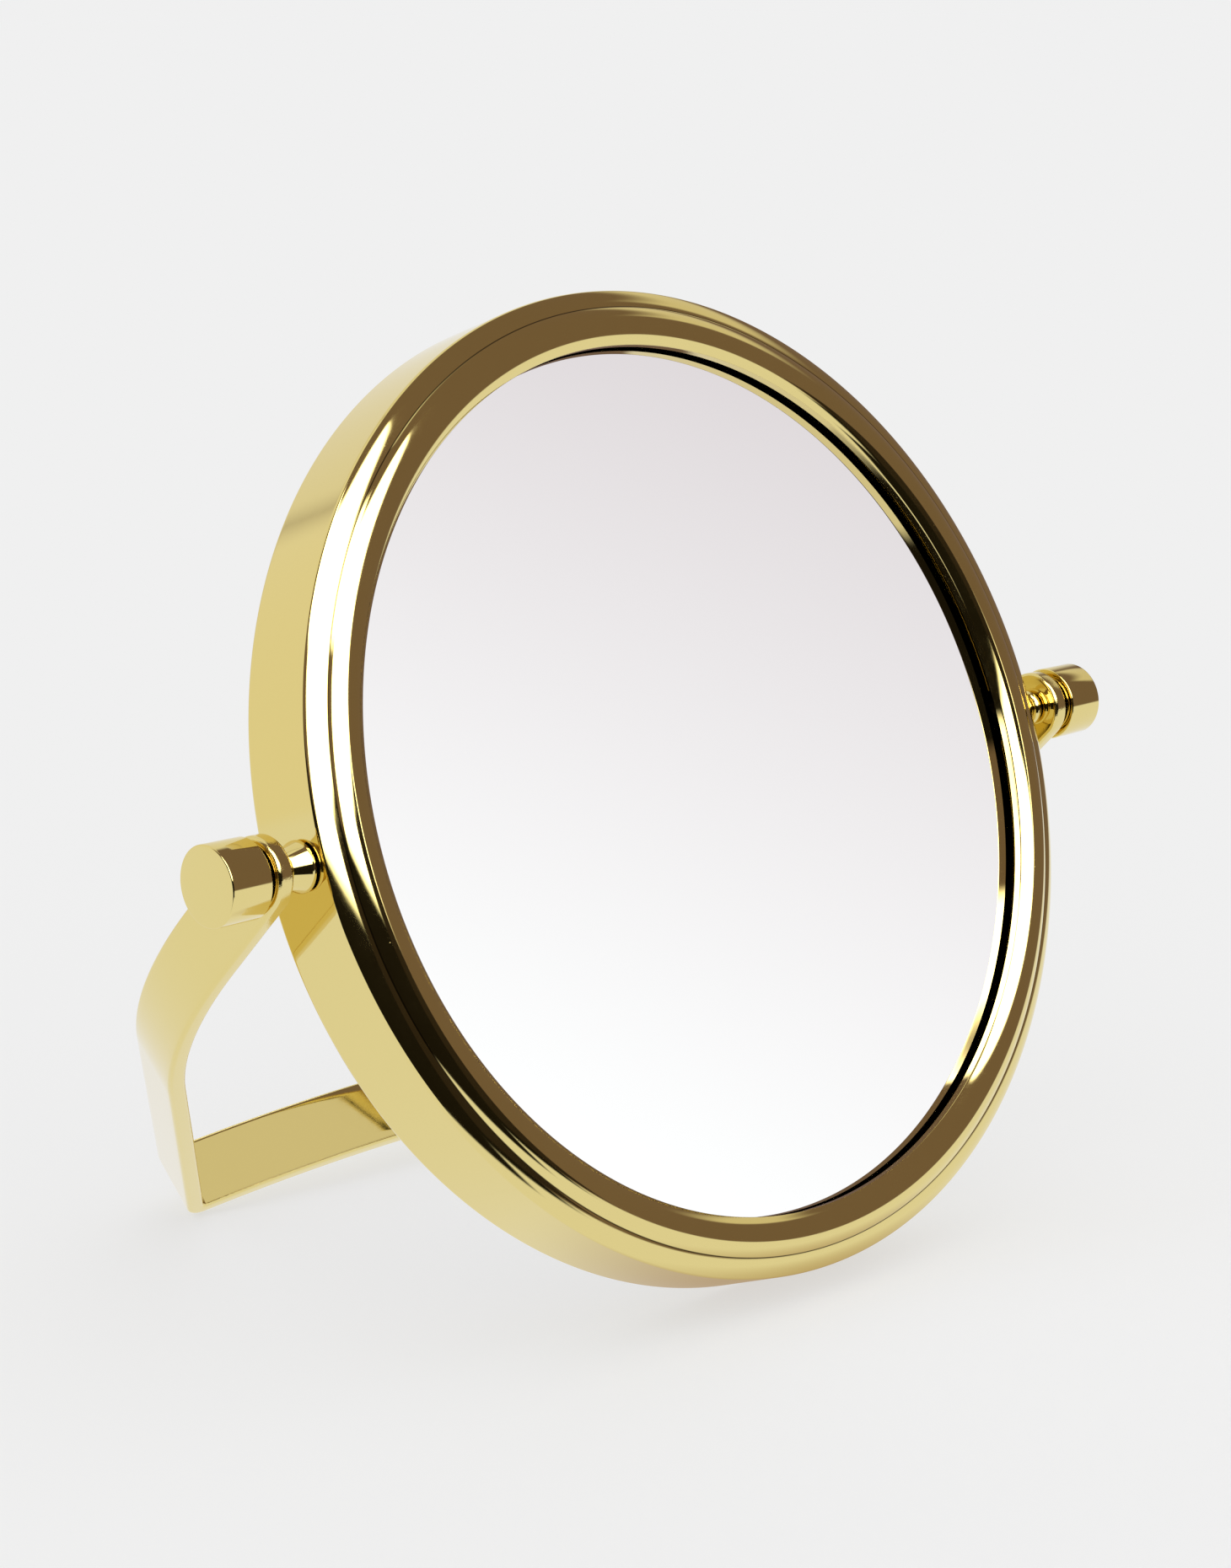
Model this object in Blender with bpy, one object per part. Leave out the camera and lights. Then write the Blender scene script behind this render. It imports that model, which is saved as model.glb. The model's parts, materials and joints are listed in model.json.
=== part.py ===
"""Round two-sided mirror on a folding U-shaped stand, in polished brass.

Metres, +Z up. The mirror faces -Y and leans back; the pivots lie along X. The stand is swung out
behind it, so that the rim's lower back edge and the stand's two corners carry the mirror.

The head is drawn in its own frame: X along the pivots, Y from the front glass to the back glass, Z up
the glass, with the origin where the pivot axis crosses the head's middle. The stand is drawn in the
plane of its strip: X along the pivots, D away from the pivot axis.
"""

import math

import bmesh
import bpy
from mathutils import Vector

# Driving dimensions, in metres and radians
RIM_RADIUS = 0.0750  # outside of the rim's plain wall
RIM_FRONT = -0.0047  # head Y where the wall's front corner starts
RIM_BACK = 0.0085  # head Y of the wall's rolled back edge
SHEET = 0.0009  # thickness of the spun brass sheet
ROLL = 0.0010  # outer radius of the rolled back edge
CORNER_ROUND = 0.0007  # radius of the wall's front corner
OUTER_BEAD = 0.0059  # section radius of the shallow outer bead
OUTER_BEAD_TILT = (40, 10)  # degrees from facing forward, at its two ends
INNER_BEAD = 0.0042  # section radius of the inner bead
CREST_RADIUS = 0.0689  # ring that stands furthest forward
VIEW_RADIUS = 0.0660  # edge of the visible glass
GLASS_FACE = -0.0052  # head Y of the plane glass
MAGNIFIER_EDGE = 0.0071  # head Y of the magnifying glass's edge
RECLINE = math.radians(20.0)  # lean of the head at rest

GLASS = 0.0020  # thickness of the plane glass
GLASS_RADIUS = 0.0688  # both glasses, cut larger than the visible circle
MAGNIFIER = 0.0018  # thickness of the slumped glass
MAGNIFIER_CURVE = 0.850  # radius of its hollow face
PLATE = 0.0012  # steel backing plate
FRONT_PAD = 0.0010  # thickness of the foam behind the plane glass
BACK_PAD_RADIUS = 0.0600
LINER_INSET = 0.0010  # how much smaller than the glasses the pieces between them are
SPACER_HOLE = 0.0630  # radius of the spacer's hole, clear of the foam inside it
BEZEL_SEAT = 0.0030  # depth of the back bezel's cylinder inside the wall
FIT = 0.0003  # gap between touching pieces

POST_RADIUS = 0.0031  # turned collar between the rim and the stand
POST_STEP = 0.0003  # flange and neck of the collar, larger and smaller than it by this much
POST_START = 0.0700  # distance of a stud's inner end from the middle
THREAD_RADIUS = 0.0017
HOLE_RADIUS = 0.0020
NUT_RADIUS = 0.0040  # across the corners
NUT_LENGTH = 0.0025
LOCK_RADIUS = 0.0036
LOCK_LENGTH = 0.0006
INNER_WASHER_RADIUS = 0.0027
INNER_WASHER_LENGTH = 0.0022  # with a gap at each end
INNER_WASHER_CROWN = 0.0006
OUTER_WASHER_RADIUS = 0.0046
KNOB_RADIUS = 0.0058
KNOB_LENGTH = 0.0069
KNOB_END = 0.0916  # distance of a knob's flat end from the middle
KNOB_FLOOR = 0.0016  # solid metal between its thread and its flat end
KNOB_EDGE = 0.00025  # bevel of its edges

STRIP_WIDTH = 0.0112
STRIP = 0.0028  # thickness of the stand's strip
STRIP_EDGE = 0.0007  # rounding of the strip's edges
ARM_FACE = 0.0835  # distance of an arm's outer face from the middle
ARM_STRAIGHT = 0.0166  # straight length below the pivot axis
ARM_BEND_RADIUS = 0.0676  # outer face of the inward bend
ARM_BEND = math.radians(31.4)
BASE_DEPTH = 0.0985  # distance of the base's ends from the pivot axis
BASE_ARCH = 0.0058  # rise of the base's middle
CORNER_RADIUS = 0.0036  # outer face of the two tight corners
TIP_START = 9  # degrees round an arm's round end where its outline starts

RIM_STEPS = 64
SMALL_STEPS = 24
TIP_STEPS = 7


def clear_scene():
    """Empty the scene."""
    for obj in list(bpy.data.objects):
        bpy.data.objects.remove(obj)


def finish(name, color, metallic, roughness):
    """One material for one piece."""
    material = bpy.data.materials.new(name)
    material.use_nodes = True
    shader = material.node_tree.nodes["Principled BSDF"]
    shader.inputs["Base Color"].default_value = (*color, 1.0)
    shader.inputs["Metallic"].default_value = metallic
    shader.inputs["Roughness"].default_value = roughness
    return material


def brass(name):
    """Polished pale brass."""
    return finish(name, (0.69, 0.56, 0.21), 1.0, 0.05)


def zinc(name):
    """Plated steel of the hidden fasteners."""
    return finish(name, (0.62, 0.63, 0.64), 1.0, 0.35)


def silvered(name):
    """Silvered glass."""
    return finish(name, (0.90, 0.90, 0.91), 1.0, 0.01)


def foam(name):
    """Closed-cell foam."""
    return finish(name, (0.04, 0.04, 0.045), 0.0, 0.9)


def nylon(name):
    """Natural nylon."""
    return finish(name, (0.80, 0.79, 0.74), 0.0, 0.45)


def place(name, bm, material, parent):
    """Turn a bmesh into one closed, smooth-shaded object under its parent."""
    bmesh.ops.remove_doubles(bm, verts=bm.verts, dist=1e-6)
    bmesh.ops.recalc_face_normals(bm, faces=bm.faces)
    mesh = bpy.data.meshes.new(name)
    bm.to_mesh(mesh)
    bm.free()
    mesh.shade_smooth()
    mesh.set_sharp_from_angle(angle=math.radians(32))
    mesh.materials.append(material)
    obj = bpy.data.objects.new(name, mesh)
    bpy.context.collection.objects.link(obj)
    obj.parent = parent
    return obj


def empty(name, location, tilt, parent=None):
    """A frame to hang pieces on, turned about the X axis."""
    obj = bpy.data.objects.new(name, None)
    bpy.context.collection.objects.link(obj)
    obj.location = location
    obj.rotation_euler = (tilt, 0.0, 0.0)
    obj.parent = parent
    return obj


def turned(profile, axis, steps):
    """Spin a closed outline of (radius, place along the axis) points about the X or Y axis."""
    bm = bmesh.new()
    if axis == "Y":
        verts = [bm.verts.new((r, along, 0.0)) for r, along in profile]
        direction = (0.0, 1.0, 0.0)
    else:
        verts = [bm.verts.new((along, 0.0, r)) for r, along in profile]
        direction = (1.0, 0.0, 0.0)
    edges = [bm.edges.new((a, b)) for a, b in zip(verts, verts[1:] + verts[:1])]
    bmesh.ops.spin(
        bm, geom=verts + edges, cent=(0, 0, 0), axis=direction, angle=math.tau, steps=steps, use_merge=True
    )
    bmesh.ops.dissolve_degenerate(bm, edges=bm.edges, dist=1e-6)
    return bm


def arc(center, radius, start, end, steps):
    """Points on a circle from one angle to another, in degrees."""
    angles = [math.radians(start + (end - start) * i / steps) for i in range(steps + 1)]
    return [(center[0] + radius * math.cos(a), center[1] + radius * math.sin(a)) for a in angles]


def cut(obj, cutters):
    """Take cutters out of a piece. They stay in the scene as hidden wires."""
    for cutter in cutters:
        cutter.hide_render = True
        cutter.display_type = "WIRE"
        boolean = obj.modifiers.new("Hole", "BOOLEAN")
        boolean.operation = "DIFFERENCE"
        boolean.solver = "EXACT"
        boolean.object = cutter


def drill(name, radius, start, end, parent):
    """A round cutter along X."""
    bm = turned([(0.0, start), (radius, start), (radius, end), (0.0, end)], "X", SMALL_STEPS)
    return place(name, bm, None, parent)


def crown(center, radius, start, end, steps):
    """Arc of a bead's section as (radius, forward), from one tilt off the forward direction to another."""
    return arc(center, radius, 90 - start, 90 - end, steps)


def outer_bead():
    """Small corner and shallow outer bead, from the wall to the crease, as (radius, Y)."""
    start, end = OUTER_BEAD_TILT
    corner = crown((RIM_RADIUS - CORNER_ROUND, 0.0), CORNER_ROUND, 90, start, 2)
    touch = math.radians(start)
    center = (
        corner[-1][0] - OUTER_BEAD * math.sin(touch),
        corner[-1][1] - OUTER_BEAD * math.cos(touch),
    )
    points = corner + crown(center, OUTER_BEAD, start, end, 3)[1:]
    return [(r, RIM_FRONT - forward) for r, forward in points]


def inner_bead(sign, crease, back):
    """Inner bead from the crease to the lip, and the lip's short wall, as (radius, Y).

    sign is -1 for the front bead and 1 for the back one, and back is the Y where the lip's wall ends.
    """
    start = math.asin((crease[0] - CREST_RADIUS) / INNER_BEAD)
    end = math.asin((VIEW_RADIUS - CREST_RADIUS) / INNER_BEAD)
    center = (CREST_RADIUS, -INNER_BEAD * math.cos(start))
    points = crown(center, INNER_BEAD, math.degrees(start), math.degrees(end), 8)
    return [(r, crease[1] + sign * forward) for r, forward in points] + [(VIEW_RADIUS, back)]


def inset(points, distance):
    """The same open line moved sideways, to the left of its direction."""
    moved = []
    for i, point in enumerate(points):
        before = Vector(points[max(i - 1, 0)])
        after = Vector(points[min(i + 1, len(points) - 1)])
        here = Vector(point)
        normals = []
        for a, b in ((before, here), (here, after)):
            if (b - a).length > 1e-9:
                side = (b - a).normalized()
                normals.append(Vector((-side.y, side.x)))
        mean = sum(normals, Vector((0.0, 0.0))).normalized()
        moved.append(tuple(here + mean * distance / max(mean.dot(normals[0]), 0.5)))
    return moved


def front_shell(head):
    """One spun piece: the plain wall, the front beads, and the back edge rolled over the back bezel."""
    outer_part = outer_bead()
    front = outer_part + inner_bead(-1, outer_part[-1], GLASS_FACE - FIT)[1:]
    lip = arc((RIM_RADIUS - ROLL, RIM_BACK - ROLL), ROLL, 90, 0, 3)
    outer = [(RIM_RADIUS - ROLL - SHEET, RIM_BACK)] + lip + front
    inner = inset(outer, -SHEET)
    shell = place("front_shell", turned(outer + inner[::-1], "Y", RIM_STEPS), brass("shell_brass"), head)
    reach = 2 * SHEET
    wall = RIM_RADIUS - SHEET / 2
    holes = [
        drill("left_wall_drill", HOLE_RADIUS, -wall - reach, -wall + reach, head),
        drill("right_wall_drill", HOLE_RADIUS, wall - reach, wall + reach, head),
    ]
    cut(shell, holes)


def back_bezel(head):
    """Beaded ring that holds the magnifying glass, seated inside the wall and under its rolled edge."""
    seat_radius = RIM_RADIUS - SHEET - FIT
    seat_back = RIM_BACK - SHEET - FIT
    flange_end = seat_back - BEZEL_SEAT
    crease_radius = outer_bead()[-1][0]
    step = crease_radius + FIT
    outer = [(seat_radius, flange_end), (seat_radius, seat_back), (step, seat_back), (step, RIM_BACK)]
    bead = inner_bead(1, (crease_radius, RIM_BACK), MAGNIFIER_EDGE + FIT)
    under = inset(bead, SHEET)
    under = [point for point in under if point[0] < crease_radius - SHEET]
    inner = under[::-1]
    inner.append((crease_radius - SHEET, seat_back - SHEET))
    inner.append((seat_radius - SHEET, seat_back - SHEET))
    inner.append((seat_radius - SHEET, flange_end))
    place("back_bezel", turned(outer + bead + inner, "Y", RIM_STEPS), brass("bezel_brass"), head)


def disc(name, radius, front, back, material, head):
    """A plain round plate between two places along Y."""
    profile = [(0.0, front), (radius, front), (radius, back), (0.0, back)]
    place(name, turned(profile, "Y", RIM_STEPS), material, head)


def ring(name, hole, radius, front, back, material, head):
    """A flat ring between two places along Y."""
    profile = [(hole, front), (radius, front), (radius, back), (hole, back)]
    place(name, turned(profile, "Y", RIM_STEPS), material, head)


def magnifier(rim_back, head):
    """Slumped glass whose hollow face looks back, as part of a sphere."""
    def hollow(r, offset):
        return rim_back + offset - (GLASS_RADIUS**2 - r**2) / (2 * MAGNIFIER_CURVE)

    radii = [GLASS_RADIUS * i / 5 for i in range(6)]
    back = [(r, hollow(r, 0.0)) for r in radii]
    front = [(r, hollow(r, -MAGNIFIER)) for r in reversed(radii)]
    place("magnifying_glass", turned(back + front, "Y", RIM_STEPS), silvered("magnifier_silver"), head)


def core_stack(head):
    """Everything between the two beads, from the front glass to the magnifying glass."""
    y = GLASS_FACE
    disc("front_glass", GLASS_RADIUS, y, y + GLASS, silvered("front_silver"), head)
    y += GLASS + FIT
    disc("front_pad", GLASS_RADIUS - LINER_INSET, y, y + FRONT_PAD, foam("front_foam"), head)
    y += FRONT_PAD + FIT
    disc("backing_plate", GLASS_RADIUS - LINER_INSET, y, y + PLATE, zinc("plate_steel"), head)
    y += PLATE + FIT
    sag = (GLASS_RADIUS**2) / (2 * MAGNIFIER_CURVE)
    disc("back_pad", BACK_PAD_RADIUS, y, MAGNIFIER_EDGE - MAGNIFIER - sag - FIT, foam("back_foam"), head)
    hole_sag = (GLASS_RADIUS**2 - SPACER_HOLE**2) / (2 * MAGNIFIER_CURVE)
    seat = MAGNIFIER_EDGE - MAGNIFIER - hole_sag - FIT
    ring("spacer_ring", SPACER_HOLE, GLASS_RADIUS - LINER_INSET, y, seat, nylon("spacer_nylon"), head)
    magnifier(MAGNIFIER_EDGE, head)


def post(name, side, parent):
    """Turned stud: a threaded stem through the wall, a collar outside it, and a threaded stem out."""
    flange = RIM_RADIUS + FIT
    collar_end = ARM_FACE - STRIP - INNER_WASHER_LENGTH
    stem_end = KNOB_END - KNOB_FLOOR - 2 * FIT
    profile = [
        (0.0, POST_START),
        (THREAD_RADIUS, POST_START),
        (THREAD_RADIUS, flange),
        (POST_RADIUS + POST_STEP, flange),
        (POST_RADIUS + POST_STEP, flange + POST_STEP),
        (POST_RADIUS, flange + 2 * POST_STEP),
        (POST_RADIUS, collar_end - POST_STEP),
        (POST_RADIUS - POST_STEP, collar_end),
        (THREAD_RADIUS, collar_end),
        (THREAD_RADIUS, stem_end),
        (0.0, stem_end),
    ]
    place(name, turned(mirrored(profile, side), "X", SMALL_STEPS), brass(name + "_brass"), parent)


def mirrored(profile, side):
    """A profile on the +X side, or its image on the -X side."""
    return [(r, side * along) for r, along in profile]


def washer(name, side, start, end, radius, material, parent, crown=0.0):
    """A washer, with its rim drawn in by crown at both faces."""
    profile = [
        (HOLE_RADIUS, start),
        (radius - crown, start),
        (radius, start + crown),
        (radius, end - crown),
        (radius - crown, end),
        (HOLE_RADIUS, end),
    ]
    if crown == 0.0:
        profile = [profile[0], profile[1], profile[4], profile[5]]
    place(name, turned(mirrored(profile, side), "X", SMALL_STEPS), material, parent)


def nut(name, side, start, end, parent):
    """Hexagonal nut with a hole."""
    profile = [(0.0, start), (NUT_RADIUS, start), (NUT_RADIUS, end), (0.0, end)]
    body = place(name, turned(mirrored(profile, side), "X", 6), zinc(name + "_zinc"), parent)
    reach = NUT_LENGTH / 2
    cut(body, [drill(name + "_drill", HOLE_RADIUS, side * (start - reach), side * (end + reach), parent)])


def knob(name, side, parent):
    """Plain thumb nut with a blind hole, drawn about its own place on the pivot axis."""
    middle = KNOB_END - KNOB_LENGTH / 2
    half = KNOB_LENGTH / 2
    profile = [
        (0.0, half),
        (KNOB_RADIUS - KNOB_EDGE, half),
        (KNOB_RADIUS, half - KNOB_EDGE),
        (KNOB_RADIUS, -half + KNOB_EDGE),
        (KNOB_RADIUS - KNOB_EDGE, -half),
        (HOLE_RADIUS, -half),
        (HOLE_RADIUS, half - KNOB_FLOOR),
        (0.0, half - KNOB_FLOOR),
    ]
    frame = empty(name + "_axis", (side * middle, 0.0, 0.0), 0.0, parent)
    place(name, turned(mirrored(profile, side), "X", 2 * SMALL_STEPS), brass(name + "_brass"), frame)


def pivot_side(word, side, head):
    """All the pieces on one side of the head, from the nut inside the wall to the knob."""
    inside = math.sqrt((RIM_RADIUS - SHEET) ** 2 - NUT_RADIUS**2) - FIT
    post(f"{word}_post", side, head)
    lock = inside - LOCK_LENGTH
    washer(f"{word}_lock_washer", side, lock, inside, LOCK_RADIUS, zinc(f"{word}_lock_zinc"), head)
    nut(f"{word}_nut", side, lock - FIT - NUT_LENGTH, lock - FIT, head)
    arm = ARM_FACE - STRIP
    washer(
        f"{word}_inner_washer", side, arm - INNER_WASHER_LENGTH + FIT, arm - FIT, INNER_WASHER_RADIUS,
        brass(f"{word}_inner_brass"), head, crown=INNER_WASHER_CROWN,
    )
    washer(
        f"{word}_outer_washer", side, ARM_FACE + FIT, KNOB_END - KNOB_LENGTH - FIT, OUTER_WASHER_RADIUS,
        brass(f"{word}_outer_brass"), head,
    )
    knob(f"{word}_knob", side, head)


def tip_angle(step):
    """Angle round an arm's round end, from its tip to the strip's full width."""
    return math.radians(TIP_START + (90 - TIP_START) * min(step, TIP_STEPS) / TIP_STEPS)


def strip_line():
    """Outer face of the +X half of the stand, as (x, d, inward x, inward d), from arm end to middle."""
    stations = []
    for i in range(TIP_STEPS + 1):
        stations.append((ARM_FACE, -STRIP_WIDTH / 2 * math.cos(tip_angle(i)), -1.0, 0.0))
    center = ARM_FACE - ARM_BEND_RADIUS
    for i in range(9):
        a = ARM_BEND * i / 8
        x = center + ARM_BEND_RADIUS * math.cos(a)
        stations.append((x, ARM_STRAIGHT + ARM_BEND_RADIUS * math.sin(a), -math.cos(a), -math.sin(a)))
    # The base is an arc through its two ends, and the corner is an arc that touches arm and base
    bend_x = center + ARM_BEND_RADIUS * math.cos(ARM_BEND)
    bend_d = ARM_STRAIGHT + ARM_BEND_RADIUS * math.sin(ARM_BEND)
    tip_x = bend_x - (BASE_DEPTH - bend_d) * math.tan(ARM_BEND)
    base_radius = (tip_x**2 + BASE_ARCH**2) / (2 * BASE_ARCH)
    slope = math.asin(tip_x / base_radius)
    turn = math.pi / 2 - ARM_BEND + slope
    reach = CORNER_RADIUS * math.tan(turn / 2)
    start_x = tip_x + reach * math.sin(ARM_BEND)
    start_d = BASE_DEPTH - reach * math.cos(ARM_BEND)
    pin_x = start_x - CORNER_RADIUS * math.cos(ARM_BEND)
    pin_d = start_d - CORNER_RADIUS * math.sin(ARM_BEND)
    for i in range(7):
        a = ARM_BEND + turn * i / 6
        x = pin_x + CORNER_RADIUS * math.cos(a)
        stations.append((x, pin_d + CORNER_RADIUS * math.sin(a), -math.cos(a), -math.sin(a)))
    last = stations[-1]
    for i in range(1, 7):
        x = last[0] * (1 - i / 6)
        rise = math.sqrt(base_radius**2 - x**2) - base_radius + BASE_ARCH
        lean = math.asin(x / base_radius)
        stations.append((x, BASE_DEPTH - rise, math.sin(lean), -math.cos(lean)))
    return stations


def strip_section(half_width):
    """Rounded rectangle across the strip, as (across the width, into the thickness)."""
    edge = min(STRIP_EDGE, half_width * 0.6)
    points = []
    for w, t, start in (
        (half_width - edge, edge, 270),
        (half_width - edge, STRIP - edge, 0),
        (-half_width + edge, STRIP - edge, 90),
        (-half_width + edge, edge, 180),
    ):
        points += arc((w, t), edge, start, start + 90, 2)
    return points


def stand_bracket(parent):
    """Bent strip: two arms with round ends, an inward bend in each, and an arched base."""
    half = strip_line()
    line = half + [(-x, d, -nx, nd) for x, d, nx, nd in half[-2::-1]]
    bm = bmesh.new()
    loops = []
    for i, (x, d, nx, nd) in enumerate(line):
        from_end = min(i, len(line) - 1 - i)
        section = strip_section(STRIP_WIDTH / 2 * math.sin(tip_angle(from_end)))
        loops.append([bm.verts.new((x + nx * t, w, -(d + nd * t))) for w, t in section])
    for near, far in zip(loops, loops[1:]):
        for a in range(len(near)):
            b = (a + 1) % len(near)
            bm.faces.new((near[a], near[b], far[b], far[a]))
    bm.faces.new(loops[0])
    bm.faces.new(loops[-1])
    stand = place("stand_bracket", bm, brass("stand_brass"), parent)
    start = ARM_FACE - 2 * STRIP
    end = ARM_FACE + STRIP
    holes = [
        drill("left_arm_drill", HOLE_RADIUS, -end, -start, parent),
        drill("right_arm_drill", HOLE_RADIUS, start, end, parent),
    ]
    cut(stand, holes)


def pivot_height():
    """Height of the pivot axis when the rim's rounded lower back edge stands on the floor."""
    return (RIM_BACK - ROLL) * math.sin(RECLINE) + (RIM_RADIUS - ROLL) * math.cos(RECLINE) + ROLL


def prop_angle(height):
    """Angle of the stand from straight down at which its lower edge also stands on the floor."""
    deepest = max(d for _, d, _, _ in strip_line()) - STRIP_EDGE
    edge = STRIP_WIDTH / 2 - STRIP_EDGE
    reach = math.hypot(deepest, edge)
    return math.atan2(edge, deepest) + math.acos((height - STRIP_EDGE) / reach)


def center_on_floor(root):
    """Move the assembly so that the middle of its box's underside is the origin."""
    bpy.context.view_layer.update()
    graph = bpy.context.evaluated_depsgraph_get()
    corners = []
    for obj in bpy.context.scene.objects:
        if obj.type == "MESH" and not obj.hide_render:
            solid = obj.evaluated_get(graph)
            corners += [solid.matrix_world @ vertex.co for vertex in solid.data.vertices]
    low = [min(c[i] for c in corners) for i in range(3)]
    high = [max(c[i] for c in corners) for i in range(3)]
    root.location -= Vector(((low[0] + high[0]) / 2, (low[1] + high[1]) / 2, low[2]))


def build():
    """The whole mirror in its resting pose."""
    clear_scene()
    height = pivot_height()
    root = empty("mirror_axis", (0.0, 0.0, height), 0.0)
    head = empty("head_axis", (0.0, 0.0, 0.0), -RECLINE, root)
    prop = empty("stand_axis", (0.0, 0.0, 0.0), prop_angle(height), root)
    front_shell(head)
    core_stack(head)
    back_bezel(head)
    for word, side in (("left", -1), ("right", 1)):
        pivot_side(word, side, head)
    stand_bracket(prop)
    center_on_floor(root)
    bpy.context.view_layer.update()


build()
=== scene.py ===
"""Round two-sided mirror in bright gold-plated brass, tilting between two thumb nuts on a folding stand.

The head is drawn in its own frame: X along the pivots, Y from the front glass to the back glass, Z up the
glass, with the origin in the middle of the pivot axis. The stand is drawn on its own bent line. Both are
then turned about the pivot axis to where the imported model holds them.
"""

import json
import math

import bmesh
import bpy
import numpy as np
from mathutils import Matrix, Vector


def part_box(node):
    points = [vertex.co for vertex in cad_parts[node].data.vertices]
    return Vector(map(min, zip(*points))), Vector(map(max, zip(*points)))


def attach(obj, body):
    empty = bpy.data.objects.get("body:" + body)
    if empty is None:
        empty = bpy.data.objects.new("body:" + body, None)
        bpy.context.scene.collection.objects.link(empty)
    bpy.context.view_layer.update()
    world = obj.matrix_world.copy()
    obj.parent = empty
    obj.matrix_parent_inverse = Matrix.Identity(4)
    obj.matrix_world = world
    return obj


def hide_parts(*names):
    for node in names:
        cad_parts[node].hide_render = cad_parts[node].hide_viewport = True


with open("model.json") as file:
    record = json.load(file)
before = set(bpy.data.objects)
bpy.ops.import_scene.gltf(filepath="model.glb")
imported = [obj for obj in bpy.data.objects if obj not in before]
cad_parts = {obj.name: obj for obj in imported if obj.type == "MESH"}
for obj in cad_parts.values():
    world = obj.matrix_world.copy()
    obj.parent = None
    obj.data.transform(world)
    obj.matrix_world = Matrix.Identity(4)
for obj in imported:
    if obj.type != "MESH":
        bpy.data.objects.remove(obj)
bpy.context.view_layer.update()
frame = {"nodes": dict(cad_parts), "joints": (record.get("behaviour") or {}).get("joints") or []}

bl_info = {
    "name": "Folding Table Mirror",
    "version": (1, 0, 0),
    "blender": (4, 5, 0),
    "location": "View3D > Sidebar > Mirror",
    "description": "Builds a polished brass table mirror around its packed model",
    "category": "Object",
}

MM = 0.001
GAP = 0.3 * MM  # between touching pieces
SIDES = (("left", -1.0), ("right", 1.0))
HEAD_STEPS = 480  # round the shell and the bezel

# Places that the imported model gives
PIVOT = np.array(next(j["pos_m"] for j in frame["joints"] if j["name"] == "stand_fold"))
RIM_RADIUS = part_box("front_shell")[1].x
GLASS_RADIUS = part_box("front_glass")[1].x
KNOB_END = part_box("right_knob")[1].x
KNOB_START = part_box("right_knob")[0].x
ARM_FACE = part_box("stand_bracket")[1].x
COLLAR_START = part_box("right_inner_washer")[0].x
COLLAR_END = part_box("right_inner_washer")[1].x


# Sizes and colours that a user may change


class HeadSizes(bpy.types.PropertyGroup):
    """Sizes of the round head."""

    lean: bpy.props.FloatProperty(
        name="Lean", description="Angle of the glass from upright",
        default=math.radians(20.0), subtype="ANGLE",
    )
    wall_front: bpy.props.FloatProperty(
        name="Wall front", description="Place of the wall's front edge along the head's depth",
        default=-4.7 * MM, unit="LENGTH", precision=5,
    )
    wall_back: bpy.props.FloatProperty(
        name="Wall back", description="Place of the wall's back edge along the head's depth",
        default=8.5 * MM, unit="LENGTH", precision=5,
    )
    sheet: bpy.props.FloatProperty(
        name="Sheet", description="Thickness of the spun brass sheet",
        default=0.9 * MM, unit="LENGTH", precision=5,
    )
    roll: bpy.props.FloatProperty(
        name="Roll", description="Outer radius of the rolled back edge",
        default=1.0 * MM, unit="LENGTH", precision=5,
    )
    inner_bead: bpy.props.FloatProperty(
        name="Inner bead", description="Section radius of the inner bead",
        default=4.2 * MM, unit="LENGTH", precision=5,
    )
    crest_radius: bpy.props.FloatProperty(
        name="Crest radius", description="Ring of a face that stands furthest out",
        default=68.9 * MM, unit="LENGTH", precision=5,
    )
    view_radius: bpy.props.FloatProperty(
        name="View radius", description="Edge of the visible glass",
        default=66.0 * MM, unit="LENGTH", precision=5,
    )
    glass_face: bpy.props.FloatProperty(
        name="Glass face", description="Place of the plane glass along the head's depth",
        default=-5.2 * MM, unit="LENGTH", precision=5,
    )
    silver_depth: bpy.props.FloatProperty(
        name="Silver depth", description="Depth at which the silvering shows through the plane glass",
        default=0.6 * MM, unit="LENGTH", precision=5,
    )
    hollow_edge: bpy.props.FloatProperty(
        name="Hollow edge", description="Place of the magnifying glass's edge along the head's depth",
        default=7.1 * MM, unit="LENGTH", precision=5,
    )
    glass: bpy.props.FloatProperty(
        name="Glass", description="Thickness of the plane glass",
        default=2.0 * MM, unit="LENGTH", precision=5,
    )


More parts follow.
